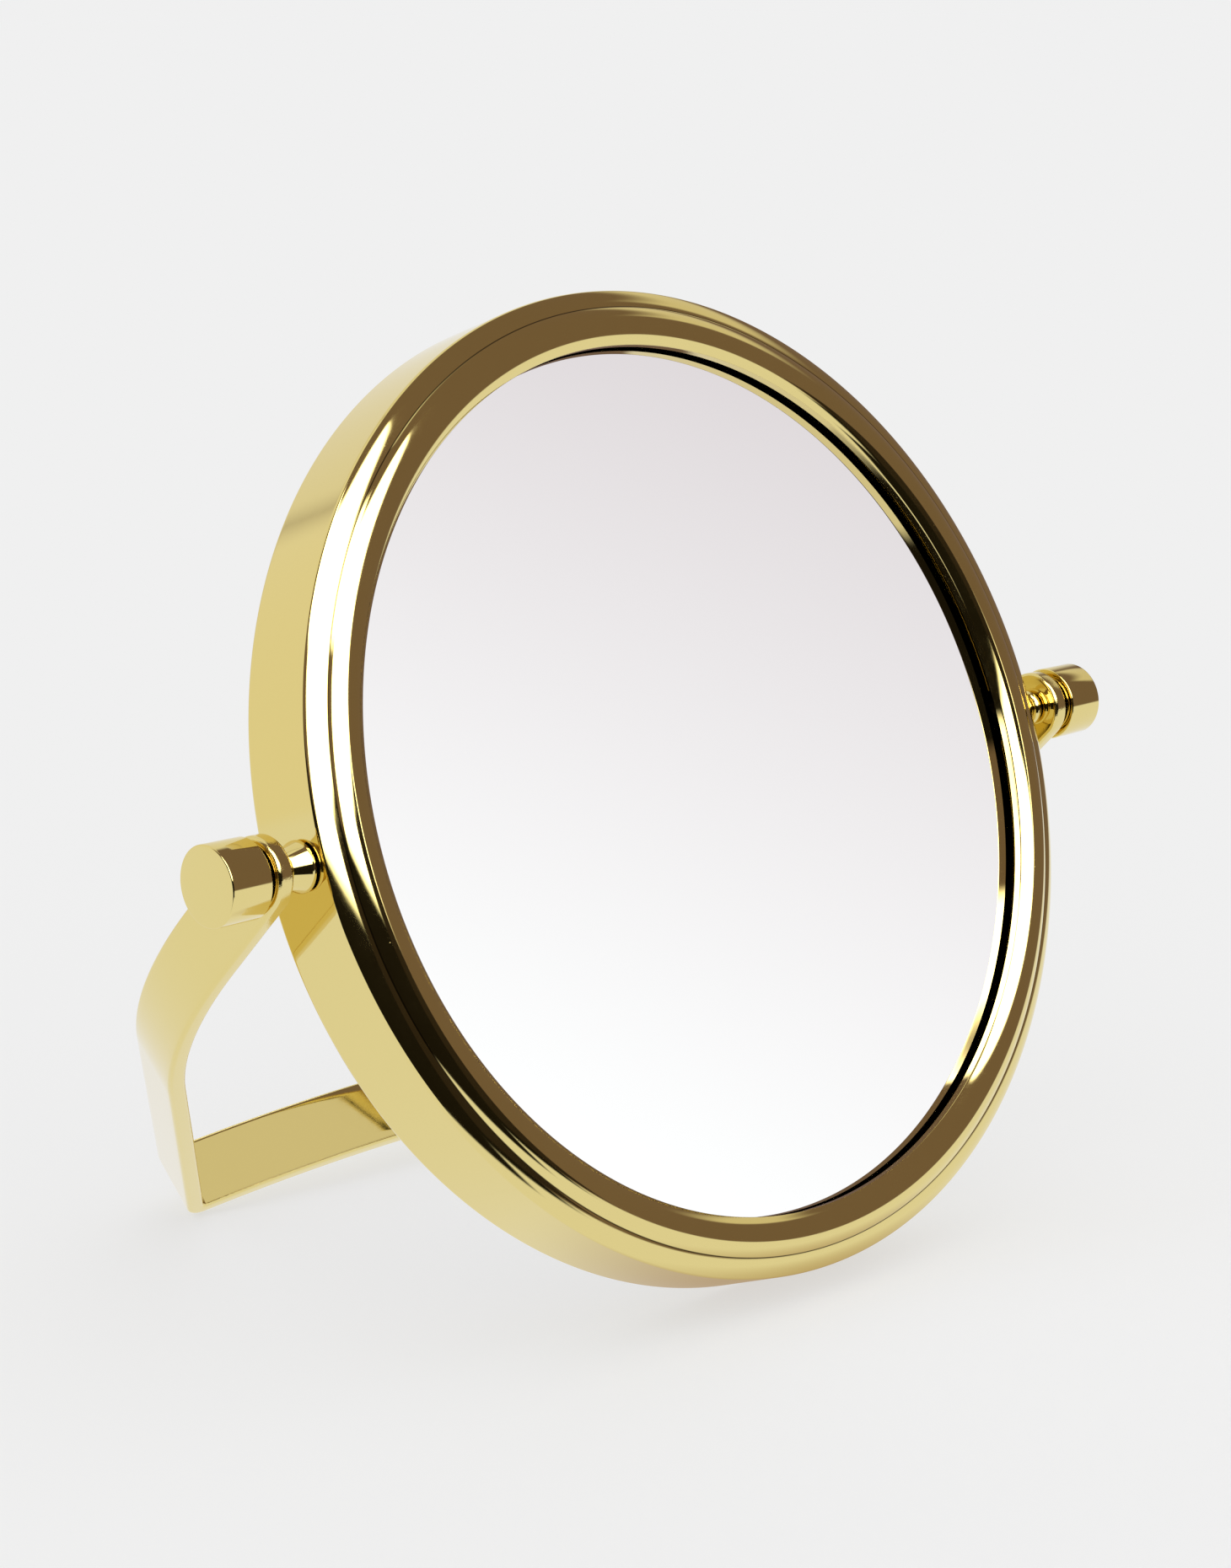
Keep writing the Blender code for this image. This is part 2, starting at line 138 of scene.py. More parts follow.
class StandSizes(bpy.types.PropertyGroup):
    """Sizes of the bent strip."""

    width: bpy.props.FloatProperty(
        name="Width", description="Width of the strip", default=11.2 * MM, unit="LENGTH", precision=5
    )
    thickness: bpy.props.FloatProperty(
        name="Thickness", description="Thickness of the strip", default=2.8 * MM, unit="LENGTH", precision=5
    )
    edge: bpy.props.FloatProperty(
        name="Edge", description="Rounding of the strip's edges",
        default=0.7 * MM, unit="LENGTH", precision=5,
    )
    straight: bpy.props.FloatProperty(
        name="Straight", description="Straight part of an arm below its pivot",
        default=16.6 * MM, unit="LENGTH", precision=5,
    )
    bend_radius: bpy.props.FloatProperty(
        name="Bend radius", description="Outer radius of an arm's inward bend",
        default=67.6 * MM, unit="LENGTH", precision=5,
    )
    bend: bpy.props.FloatProperty(
        name="Bend", description="Angle of an arm's inward bend",
        default=math.radians(31.4), subtype="ANGLE",
    )
    depth: bpy.props.FloatProperty(
        name="Depth", description="Distance from the pivot axis to the ends of the base",
        default=98.5 * MM, unit="LENGTH", precision=5,
    )
    arch: bpy.props.FloatProperty(
        name="Arch", description="Rise of the middle of the base",
        default=5.8 * MM, unit="LENGTH", precision=5,
    )
    corner: bpy.props.FloatProperty(
        name="Corner", description="Outer radius of the two tight corners",
        default=3.6 * MM, unit="LENGTH", precision=5,
    )


class Finishes(bpy.types.PropertyGroup):
    """Colours of the finishes, as sRGB hex values."""

    plate: bpy.props.StringProperty(
        name="Gold plate", description="Bright pale gold plate", default="#E7D387"
    )
    silver: bpy.props.StringProperty(
        name="Silver", description="Silvering of the glasses", default="#F1EFF1"
    )
    zinc: bpy.props.StringProperty(
        name="Zinc", description="Zinc plate of the fasteners", default="#B9BDC0"
    )
    foam: bpy.props.StringProperty(
        name="Foam", description="Closed-cell foam liners", default="#2B2B2D"
    )
    nylon: bpy.props.StringProperty(
        name="Nylon", description="Natural nylon ring", default="#DDD8C8"
    )
    floor: bpy.props.StringProperty(
        name="Floor", description="Pale floor", default="#F0F0F0"
    )


# Shapes


def trace(start, heading, runs, spacing=0.5 * MM, turn_step=math.radians(2.5)):
    """Points and headings along a line of straight runs and arcs, given as (length, turn in radians).

    The heading grows evenly along a run, so a run with a turn is an arc of radius length over turn. Each
    step moves by the chord of its own arc, along the mean of the headings at its two ends.
    """
    points = [np.array([start], dtype=float)]
    headings = [np.array([heading], dtype=float)]
    for length, turn in runs:
        steps = max(math.ceil(length / spacing), math.ceil(abs(turn) / turn_step), 1)
        mean = heading + turn * (np.arange(steps) + 0.5) / steps
        chord = length / steps * np.sinc(turn / steps / math.tau)
        moves = chord * np.stack([np.cos(mean), np.sin(mean)], axis=1)
        points.append(points[-1][-1] + np.cumsum(moves, axis=0))
        headings.append(heading + turn * np.arange(1, steps + 1) / steps)
        heading += turn
    return np.concatenate(points), np.concatenate(headings)


def bend(radius, degrees):
    """One run of a traced line: an arc of this radius through this turn."""
    turn = math.radians(degrees)
    return radius * abs(turn), turn


def beside(points, headings, distance):
    """The same line moved sideways to its left: each point goes along its heading turned a quarter left."""
    return points + distance * np.stack([-np.sin(headings), np.cos(headings)], axis=1)


def rounded(corners, radius, steps=6):
    """An open outline with each inner corner replaced by an arc of a radius, or of its own one.

    The arc starts and ends where it touches the two sides, radius over the tangent of half the corner's
    angle away from the corner.
    """
    corners = np.array(corners, dtype=float)
    radii = np.broadcast_to(radius, len(corners))
    outline = [corners[:1]]
    for before, here, after, size in zip(corners, corners[1:], corners[2:], radii[1:]):
        one = (before - here) / np.linalg.norm(before - here)
        two = (after - here) / np.linalg.norm(after - here)
        half = math.acos(float(np.clip(one @ two, -1.0, 1.0))) / 2
        if half > math.radians(89.0) or size == 0.0:
            outline.append(here[None])
            continue
        center = here + (one + two) / np.linalg.norm(one + two) * size / math.sin(half)
        first = here + one * size / math.tan(half) - center
        last = here + two * size / math.tan(half) - center
        share = np.linspace(0.0, 1.0, steps + 1)[:, None]
        span = math.pi - 2 * half
        arc = (np.sin((1 - share) * span) * first + np.sin(share * span) * last) / math.sin(span)
        outline.append(center + arc)
    outline.append(corners[-1:])
    return np.concatenate(outline)


def skin(name, grid, wrap_across, material):
    """A closed mesh over a grid of points whose rows close on themselves, with a UV map in millimetres.

    U is the mean distance round a row and V the mean distance from row to row. Columns close too where
    wrap_across is set. Points that fall together, as at a pole, are merged.
    """
    rows, columns = grid.shape[:2]
    index = np.arange(rows * columns).reshape(rows, columns)
    last_row = rows if wrap_across else rows - 1
    row = np.arange(last_row)[:, None]
    column = np.arange(columns)[None, :]
    corners = [(row, column), (row, column + 1), (row + 1, column + 1), (row + 1, column)]
    quads = np.stack([index[r % rows, c % columns] for r, c in corners], axis=-1)
    along = np.linalg.norm(np.roll(grid, -1, axis=1) - grid, axis=2).mean(axis=0)
    across = np.linalg.norm(np.roll(grid, -1, axis=0) - grid, axis=2).mean(axis=1)
    u = np.concatenate([[0.0], np.cumsum(along)]) / MM
    v = np.concatenate([[0.0], np.cumsum(across)]) / MM
    maps = [np.stack(np.broadcast_arrays(u[c], v[r]), axis=-1) for r, c in corners]

    mesh = bpy.data.meshes.new(name)
    mesh.from_pydata(grid.reshape(-1, 3), [], quads.reshape(-1, 4))
    layer = mesh.uv_layers.new(name="Surface")
    layer.data.foreach_set("uv", np.stack(maps, axis=-2).astype(np.float32).ravel())
    return close(mesh, material)


def close(mesh, material):
    """Merge what falls together, turn the faces outwards, shade smooth with sharp edges, and show it."""
    bm = bmesh.new()
    bm.from_mesh(mesh)
    bmesh.ops.remove_doubles(bm, verts=bm.verts, dist=0.0005 * MM)
    bmesh.ops.dissolve_degenerate(bm, edges=bm.edges, dist=0.0005 * MM)
    bmesh.ops.recalc_face_normals(bm, faces=bm.faces)
    bm.to_mesh(mesh)
    bm.free()
    mesh.shade_smooth()
    mesh.set_sharp_from_angle(angle=math.radians(28.0))
    mesh.materials.append(material)
    piece = bpy.data.objects.new(mesh.name, mesh)
    bpy.context.collection.objects.link(piece)
    return piece


def turned_about_pivot(points, angle):
    """Points of a piece's own frame, turned about the pivot axis and moved to it."""
    x, y, z = np.moveaxis(points, -1, 0)
    turned = [x, y * math.cos(angle) - z * math.sin(angle), y * math.sin(angle) + z * math.cos(angle)]
    return np.stack(turned, axis=-1) + PIVOT


def spun(name, outline, axis, angle, material, steps=384, is_ring=False):
    """A turned piece: an outline of (radius, place along the axis) carried round the head's X or Y axis.

    A ring's outline is closed; any other starts and ends on the axis.
    """
    turn = np.linspace(0.0, math.tau, steps, endpoint=False)
    radius = outline[:, :1]
    along = np.broadcast_to(outline[:, 1:], (len(outline), steps))
    if axis == "Y":
        grid = np.stack([radius * np.cos(turn), along, radius * np.sin(turn)], axis=-1)
    else:
        grid = np.stack([along, radius * np.cos(turn), radius * np.sin(turn)], axis=-1)
    return skin(name, turned_about_pivot(grid, angle), is_ring, material)


def outer_bead_line(sizes):
    """Line of the small corner and the shallow outer bead, from the plain wall to the crease."""
    corner = bend(0.7 * MM, -50.0)
    bead = bend(5.9 * MM, -30.0)
    return trace((RIM_RADIUS, sizes.wall_front), math.radians(-90.0), [corner, bead])


def inner_bead_line(sizes, crease, glass):
    """Line of the inner bead, from the crease over the crest to the lip, and the lip's short wall.

    The bead is an arc about the ring of the crest. The sine of the angle between the arc's start and
    the crest is the distance between their rings over the arc's radius, and likewise at the lip.
    """
    eased = 0.25 * MM
    start = math.asin((crease[0] - sizes.crest_radius) / sizes.inner_bead)
    end = math.asin((sizes.crest_radius - sizes.view_radius - eased / 2) / sizes.inner_bead)
    runs = [bend(sizes.inner_bead, -math.degrees(start + end)), bend(eased, math.degrees(end) - 90.0)]
    line, _ = trace(crease, start - math.pi, runs)
    runs.append((glass - line[-1, 1], 0.0))
    return trace(crease, start - math.pi, runs)


# Finishes


def linear(code):
    """An sRGB hex value as linear RGBA."""
    parts = [int(code[i:i + 2], 16) / 255 for i in (1, 3, 5)]
    return (*[p / 12.92 if p <= 0.04045 else ((p + 0.055) / 1.055) ** 2.4 for p in parts], 1.0)


def add(tree, kind, settings=None, links=None):
    """Add a node, set its sockets or options by name, and link its sockets."""
    node = tree.nodes.new(kind)
    for key, value in (settings or {}).items():
        if key in node.inputs:
            node.inputs[key].default_value = value
        else:
            setattr(node, key, value)
    for key, source in (links or {}).items():
        tree.links.new(source, node.inputs[key])
    return node


def material_tree(name):
    """A new material's node tree, with its Principled shader."""
    material = bpy.data.materials.new(name)
    material.use_nodes = True
    return material, material.node_tree, material.node_tree.nodes["Principled BSDF"]


def gold_plate(name, code, crease=None, blanked=None):
    """Brass, buffed bright and gold plated: it mirrors the room in pale yellow.

    Buffing leaves a ripple a few millimetres long that bends reflections a little, faint lines along the
    way it was buffed, a film of handling marks that softens the gloss in places, and rare pinholes. Along
    the bottom of a crease a thin dark brown line is painted in as painted shade. Blanked edges keep the
    grain of the sheared metal under the plate. A crease is given as a place along V, and blanked
    edges as a span of V.
    """
    material, tree, shader = material_tree(name)
    shader.inputs["Base Color"].default_value = linear(code)
    shader.inputs["Metallic"].default_value = 1.0
    where = add(tree, "ShaderNodeTexCoord")
    # Painted shade: a thin dark brown line mixed into the base colour along the bottom of the crease.
    if crease is not None:
        axes = add(tree, "ShaderNodeSeparateXYZ", None, {"Vector": where.outputs["UV"]})
        away = add(tree, "ShaderNodeMath", {"operation": "SUBTRACT"}, {0: axes.outputs["Y"]})
        away.inputs[1].default_value = crease
        size = add(tree, "ShaderNodeMath", {"operation": "ABSOLUTE"}, {0: away.outputs["Value"]})
        share = add(
            tree, "ShaderNodeMapRange", {"From Min": 0.05, "From Max": 0.14, "To Min": 0.85, "To Max": 0.0},
            {"Value": size.outputs["Value"]},
        )
        crease_shade = add(tree, "ShaderNodeMix", {"data_type": "RGBA"}, {"Factor": share.outputs["Result"]})
        crease_shade.inputs["A"].default_value = linear(code)
        crease_shade.inputs["B"].default_value = linear("#3A2C14")
        tree.links.new(crease_shade.outputs["Result"], shader.inputs["Base Color"])
    surface = add(tree, "ShaderNodeMapping", {"Scale": (0.02, 1.0, 1.0)}, {"Vector": where.outputs["UV"]})
    ripple = add(
        tree, "ShaderNodeTexNoise", {"Scale": 1 / (7 * MM), "Detail": 1.0},
        {"Vector": where.outputs["Object"]},
    )
    lines = add(
        tree, "ShaderNodeTexNoise", {"Scale": 9.0, "Detail": 3.0}, {"Vector": surface.outputs["Vector"]}
    )
    marks = add(
        tree, "ShaderNodeTexNoise", {"Scale": 1 / (4 * MM), "Detail": 6.0, "Roughness": 0.65},
        {"Vector": where.outputs["Object"]},
    )
    gloss = add(
        tree, "ShaderNodeMapRange", {"From Min": 0.35, "From Max": 0.75, "To Min": 0.035, "To Max": 0.085},
        {"Value": marks.outputs["Fac"]},
    )
    tree.links.new(gloss.outputs["Result"], shader.inputs["Roughness"])
    pits = add(
        tree, "ShaderNodeTexVoronoi", {"Scale": 1 / (3.2 * MM)}, {"Vector": where.outputs["Object"]}
    )
    pit_depth = add(
        tree, "ShaderNodeMapRange", {"From Min": 0.0, "From Max": 0.035, "To Min": -1.0, "To Max": 0.0},
        {"Value": pits.outputs["Distance"]},
    )
    waved = add(
        tree, "ShaderNodeBump", {"Strength": 1.0, "Distance": 0.006 * MM}, {"Height": ripple.outputs["Fac"]}
    )
    lined = add(
        tree, "ShaderNodeBump", {"Strength": 1.0, "Distance": 0.0004 * MM},
        {"Height": lines.outputs["Fac"], "Normal": waved.outputs["Normal"]},
    )
    pitted = add(
        tree, "ShaderNodeBump", {"Strength": 0.5, "Distance": 0.02 * MM},
        {"Height": pit_depth.outputs["Result"], "Normal": lined.outputs["Normal"]},
    )
    tree.links.new(pitted.outputs["Normal"], shader.inputs["Normal"])
    if blanked is not None:
        axes = add(tree, "ShaderNodeSeparateXYZ", None, {"Vector": where.outputs["UV"]})
        inside = add(tree, "ShaderNodeMath", {"operation": "COMPARE"}, {0: axes.outputs["Y"]})
        inside.inputs[1].default_value = sum(blanked) / 2
        inside.inputs[2].default_value = (blanked[1] - blanked[0]) / 2
        grain = add(
            tree, "ShaderNodeTexNoise", {"Scale": 1 / (0.35 * MM), "Detail": 4.0, "Roughness": 0.7},
            {"Vector": where.outputs["Object"]},
        )
        depth = add(
            tree, "ShaderNodeMath", {"operation": "MULTIPLY"},
            {0: grain.outputs["Fac"], 1: inside.outputs["Value"]},
        )
        sheared = add(
            tree, "ShaderNodeBump", {"Strength": 1.0, "Distance": 0.02 * MM},
            {"Height": depth.outputs["Value"], "Normal": pitted.outputs["Normal"]},
        )
        tree.links.new(sheared.outputs["Normal"], shader.inputs["Normal"])
    return material


def silvered_glass(name, code):
    """Float glass, silvered behind: a clean reflection under the faint second one of the glass's face.

    The glass leaves a slight cool cast and its face a film of wiping marks, which only shows as a
    changing gloss.
    """
    material, tree, shader = material_tree(name)
    shader.inputs["Base Color"].default_value = linear(code)
    shader.inputs["Metallic"].default_value = 1.0
    shader.inputs["Coat Weight"].default_value = 1.0
    shader.inputs["Coat IOR"].default_value = 1.52
    shader.inputs["Coat Roughness"].default_value = 0.0
    where = add(tree, "ShaderNodeTexCoord")
    wiped = add(
        tree, "ShaderNodeMapping", {"Scale": (1.0, 1.0, 0.25)}, {"Vector": where.outputs["Object"]}
    )
    film = add(
        tree, "ShaderNodeTexNoise", {"Scale": 1 / (12 * MM), "Detail": 5.0, "Roughness": 0.6},
        {"Vector": wiped.outputs["Vector"]},
    )
    gloss = add(
        tree, "ShaderNodeMapRange", {"From Min": 0.4, "From Max": 0.8, "To Min": 0.004, "To Max": 0.02},
        {"Value": film.outputs["Fac"]},
    )
    tree.links.new(gloss.outputs["Result"], shader.inputs["Roughness"])
    return material


def zinc_plate(name, code):
    """Steel, barrel zinc plated: grey and half bright, with a fine spangle and tumbling marks."""
    material, tree, shader = material_tree(name)
    shader.inputs["Metallic"].default_value = 1.0
    where = add(tree, "ShaderNodeTexCoord")
    spangle = add(
        tree, "ShaderNodeTexVoronoi", {"Scale": 1 / (0.8 * MM)}, {"Vector": where.outputs["Object"]}
    )
    bright = linear(code)
    tint = add(
        tree, "ShaderNodeMix", {"data_type": "RGBA"}, {"Factor": spangle.outputs["Distance"]}
    )
    tint.inputs["A"].default_value = bright
    tint.inputs["B"].default_value = tuple(0.72 * c for c in bright[:3]) + (1.0,)
    tree.links.new(tint.outputs["Result"], shader.inputs["Base Color"])
    gloss = add(
        tree, "ShaderNodeMapRange", {"To Min": 0.28, "To Max": 0.45}, {"Value": spangle.outputs["Distance"]}
    )
    tree.links.new(gloss.outputs["Result"], shader.inputs["Roughness"])
    scuffs = add(
        tree, "ShaderNodeTexNoise", {"Scale": 1 / (0.5 * MM), "Detail": 4.0},
        {"Vector": where.outputs["Object"]},
    )
    bump = add(tree, "ShaderNodeBump", {"Distance": 0.01 * MM}, {"Height": scuffs.outputs["Fac"]})
    tree.links.new(bump.outputs["Normal"], shader.inputs["Normal"])
    return material


def cell_foam(name, code):
    """Closed-cell polyethylene foam, sliced to sheet: dull, with cut cells half a millimetre across."""
    material, tree, shader = material_tree(name)
    shader.inputs["Roughness"].default_value = 0.85
    where = add(tree, "ShaderNodeTexCoord")
    cells = add(
        tree, "ShaderNodeTexVoronoi", {"Scale": 1 / (0.5 * MM)}, {"Vector": where.outputs["Object"]}
    )
    base = linear(code)
    tint = add(tree, "ShaderNodeMix", {"data_type": "RGBA"}, {"Factor": cells.outputs["Distance"]})
    tint.inputs["A"].default_value = tuple(0.6 * c for c in base[:3]) + (1.0,)
    tint.inputs["B"].default_value = tuple(1.3 * c for c in base[:3]) + (1.0,)
    tree.links.new(tint.outputs["Result"], shader.inputs["Base Color"])
    bump = add(tree, "ShaderNodeBump", {"Distance": 0.1 * MM}, {"Height": cells.outputs["Distance"]})
    tree.links.new(bump.outputs["Normal"], shader.inputs["Normal"])
    return material


def natural_nylon(name, code):
    """Nylon 6, moulded and left uncoloured: milky, half glossy, with the grain of a sparked mould."""
    material, tree, shader = material_tree(name)
    shader.inputs["Base Color"].default_value = linear(code)
    shader.inputs["IOR"].default_value = 1.53
    shader.inputs["Subsurface Weight"].default_value = 0.1
    shader.inputs["Subsurface Scale"].default_value = 1.0 * MM
    where = add(tree, "ShaderNodeTexCoord")
    grain = add(
        tree, "ShaderNodeTexNoise", {"Scale": 1 / (0.3 * MM), "Detail": 3.0},
        {"Vector": where.outputs["Object"]},
    )
    gloss = add(
        tree, "ShaderNodeMapRange", {"To Min": 0.35, "To Max": 0.55}, {"Value": grain.outputs["Fac"]}
    )
    tree.links.new(gloss.outputs["Result"], shader.inputs["Roughness"])
    bump = add(tree, "ShaderNodeBump", {"Distance": 0.01 * MM}, {"Height": grain.outputs["Fac"]})
    tree.links.new(bump.outputs["Normal"], shader.inputs["Normal"])
    return material


# Pieces


def stand_in(piece, body, node):
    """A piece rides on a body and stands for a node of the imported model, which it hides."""
    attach(piece, body)
    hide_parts(node)


class MIRROR_OT_rim(bpy.types.Operator):
    """Spin the front shell: wall, rolled back edge and the two beads, from one sheet."""

    bl_idname = "mirror.rim"
    bl_label = "Rim"

    def execute(self, context):
        """The shell's closed outline is the outer line and the same line a sheet's thickness inside.

        The inner side is never seen, so it keeps only every fourth point and its last one."""
        sizes = context.scene.mirror_head
        runs = [bend(sizes.roll, -90.0), (sizes.wall_back - sizes.roll - sizes.wall_front, 0.0)]
        back, back_heading = trace((RIM_RADIUS - sizes.roll, sizes.wall_back), 0.0, runs)
        bead, bead_heading = outer_bead_line(sizes)
        lip, lip_heading = inner_bead_line(sizes, bead[-1], sizes.glass_face - GAP)
        outer = np.concatenate([back, bead[1:], lip[1:]])
        headings = np.concatenate([back_heading, bead_heading[1:], lip_heading[1:]])
        inner = beside(outer, headings, -sizes.sheet)
        unseen = np.concatenate([inner[:-1:4], inner[-1:]])
        outline = np.concatenate([outer, unseen[::-1]])
        # The rim's crease gets a thin painted shade line in its gold plate.
        to_crease = np.linalg.norm(np.diff(outer[: len(back) + len(bead) - 1], axis=0), axis=1).sum() / MM
        material = gold_plate("spun_gold_plate", context.scene.mirror_finishes.plate, to_crease)
        piece = spun("rim_shell", outline, "Y", -sizes.lean, material, steps=HEAD_STEPS, is_ring=True)
        stand_in(piece, "head", "front_shell")
        return {"FINISHED"}


class MIRROR_OT_bezel(bpy.types.Operator):
    """Spin the back bezel: the same two beads facing back, on a flange inside the shell."""

    bl_idname = "mirror.bezel"
    bl_label = "Back bezel"

    def execute(self, context):
        """The bezel's line is the front one mirrored in depth, from its crease inwards."""
        sizes = context.scene.mirror_head
        crease = outer_bead_line(sizes)[0][-1, 0]
        line, headings = inner_bead_line(sizes, (crease, -sizes.wall_back), -sizes.hollow_edge - GAP)
        seat = sizes.wall_back - sizes.sheet - GAP
        wall = RIM_RADIUS - sizes.sheet - GAP
        bottom = seat - 3.0 * MM
        eased = 0.3 * MM
        flange = [(wall, bottom), (wall, seat), (crease + GAP, seat), (crease + GAP, sizes.wall_back)]
        outer = np.concatenate([rounded(flange, eased), line * (1.0, -1.0)])
        inner = beside(line, headings, -sizes.sheet)
        inner = inner[inner[:, 0] < crease - sizes.sheet] * (1.0, -1.0)
        under = [(crease - sizes.sheet, seat - sizes.sheet), (wall - sizes.sheet, seat - sizes.sheet)]
        under.append((wall - sizes.sheet, bottom))
        outline = np.concatenate([outer, inner[::-1], rounded(under, eased)])
        material = gold_plate("pressed_gold_plate", context.scene.mirror_finishes.plate)
        piece = spun("bezel_ring", outline, "Y", -sizes.lean, material, steps=HEAD_STEPS, is_ring=True)
        stand_in(piece, "head", "back_bezel")
        return {"FINISHED"}


class MIRROR_OT_glasses(bpy.types.Operator):
    """Cut the plane glass and the slumped magnifying glass, with ground edges."""

    bl_idname = "mirror.glasses"
    bl_label = "Glasses"

    def execute(self, context):
        """A glass is a disc with a small ground edge. The slumped one's faces lie below its edge by the
        edge's radius squared less the distance from the middle squared, over twice the hollow's radius.

        The plane glass starts at the depth at which its silvering shows."""
        sizes = context.scene.mirror_head
        code = context.scene.mirror_finishes.silver
        front = sizes.glass_face + sizes.silver_depth
        back = sizes.glass_face + sizes.glass
        ground = 0.25 * MM
        corners = [(0.0, front), (GLASS_RADIUS, front), (GLASS_RADIUS, back), (0.0, back)]
        material = silvered_glass("plane_silvered_glass", code)
        piece = spun("plane_glass", rounded(corners, ground), "Y", -sizes.lean, material)
        stand_in(piece, "head", "front_glass")

        hollow = 850.0 * MM
        thick = 1.8 * MM
        edge = sizes.hollow_edge
        rings = 48
        radius = np.linspace(0.0, GLASS_RADIUS - ground, rings)
        fall = (GLASS_RADIUS**2 - radius**2) / (2 * hollow)
        back = np.stack([radius, edge - fall], axis=1)
        face = np.stack([radius, edge - thick - fall], axis=1)
        rim = [(GLASS_RADIUS, edge - ground), (GLASS_RADIUS, edge - thick + ground)]
        outline = np.concatenate([back, rim, face[::-1]])
        material = silvered_glass("slumped_silvered_glass", code)
        piece = spun("hollow_glass", outline, "Y", -sizes.lean, material)
        stand_in(piece, "head", "magnifying_glass")
        return {"FINISHED"}


class MIRROR_OT_pivots(bpy.types.Operator):
    """Turn the studs, the domed washers, the thin washers and the thumb nuts."""

    bl_idname = "mirror.pivots"
    bl_label = "Pivots"

    def execute(self, context):
        """Each one is a turned outline of (radius, distance from the middle), with a rounding radius
        for each of its corners, and is mirrored for the left side."""
        scene = context.scene
        material = gold_plate("turned_gold_plate", scene.mirror_finishes.plate)
        neck = 2.5 * MM
        stem = 1.7 * MM
        wall = RIM_RADIUS + GAP
        inside = 70.0 * MM
        stem_end = KNOB_END - 2.2 * MM
        groove = COLLAR_START - GAP
        flare = 3.75 * MM
        stud = rounded(
            [
                (0.0, inside), (stem, inside), (stem, wall), (flare, wall), (flare, wall + 0.5 * MM),
                (neck, groove), (stem, groove), (stem, stem_end), (0.0, stem_end),
            ],
            [0.0, 0.2 * MM, 0.0, 0.15 * MM, 1.6 * MM, 0.3 * MM, 0.0, 0.3 * MM, 0.0],
        )
        hole = 2.0 * MM
        dome = 3.0 * MM
        domed = rounded(
            [
                (hole, COLLAR_START), (dome, COLLAR_START), (dome, COLLAR_END), (hole, COLLAR_END),
                (hole, COLLAR_START),
            ],
            [0.0, 0.9 * MM, 0.7 * MM, 0.1 * MM, 0.0],
        )[:-1]
        thin_start = ARM_FACE + GAP
        thin_end = KNOB_START - GAP
        hub = 4.6 * MM
        thin = rounded(
            [(hole, thin_start), (hub, thin_start), (hub, thin_end), (hole, thin_end), (hole, thin_start)],
            [0.0, 0.15 * MM, 0.15 * MM, 0.1 * MM, 0.0],
        )[:-1]
        radius = (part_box("right_knob")[1].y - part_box("right_knob")[0].y) / 2
        crown = 0.08 * MM
        bore_end = KNOB_END - 1.6 * MM
        knob = rounded(
            [
                (0.0, KNOB_END), (radius / 2, KNOB_END - crown / 4), (radius, KNOB_END - crown),
                (radius, KNOB_START), (hole, KNOB_START), (hole, bore_end), (0.0, bore_end),
            ],
            [0.0, 20.0 * MM, 0.18 * MM, 0.22 * MM, 0.3 * MM, 0.1 * MM, 0.0],
        )
        lean = -scene.mirror_head.lean
        for word, side in SIDES:
            pieces = (
                ("stud", stud, False, "head", "post", "post_brass"),
                ("domed_washer", domed, True, "head", "inner_washer", "washer_brass"),
                ("thin_washer", thin, True, "head", "outer_washer", "washer_brass"),
                ("thumb_nut", knob, False, word + "_thumb_nut", "knob", "knob_brass"),
            )
            for name, outline, is_ring, body, node, slot in pieces:
                outline = outline * (1.0, side)
                piece = spun(f"{word}_{name}", outline, "X", lean, material, steps=144, is_ring=is_ring)
                stand_in(piece, body, f"{word}_{node}")
        return {"FINISHED"}


def stand_line(sizes):
    """Outer line of the whole strip from the left pivot to the right one, as points and headings.

    Half of it is: straight down the arm, the inward bend, straight to the tight corner, the corner, and
    half of the arched base, whose circle passes through both ends and the raised middle. The corner's
    turn takes the heading from the arm's to the base's.
    """
    bend_x = ARM_FACE - sizes.bend_radius * (1 - math.cos(sizes.bend))
    bend_d = sizes.straight + sizes.bend_radius * math.sin(sizes.bend)
    leg = (sizes.depth - bend_d) / math.cos(sizes.bend)
    tip = bend_x - leg * math.sin(sizes.bend)
    base_radius = (tip**2 + sizes.arch**2) / (2 * sizes.arch)
    slope = math.asin(tip / base_radius)
    turn = math.pi / 2 - sizes.bend + slope
    cut = sizes.corner * math.tan(turn / 2)
    half_base = base_radius * slope - cut
    runs = [
        (sizes.straight, 0.0),
        (sizes.bend_radius * sizes.bend, -sizes.bend),
        (leg - cut, 0.0),
        (sizes.corner * turn, -turn),
        (half_base, half_base / base_radius),
    ]
    half, heading = trace((ARM_FACE, 0.0), math.radians(-90.0), runs, spacing=0.8 * MM)
    half[-1, 0] = 0.0
    points = np.concatenate([half, half[-2::-1] * (-1.0, 1.0)])
    headings = np.concatenate([heading, -heading[-2::-1]])
    return points, np.unwrap(headings)


def prop_angle(sizes):
    """Angle of the stand from straight down at which its lower edge stands on the floor.

    The lowest place is the rounded edge at the strip's deepest corner, which lies at a known distance
    and angle from the pivot axis.
    """
    points, _ = stand_line(sizes)
    deepest = -points[:, 1].min() - sizes.edge
    edge = sizes.width / 2 - sizes.edge
    return math.atan2(edge, deepest) + math.acos((PIVOT[2] - sizes.edge) / math.hypot(deepest, edge))


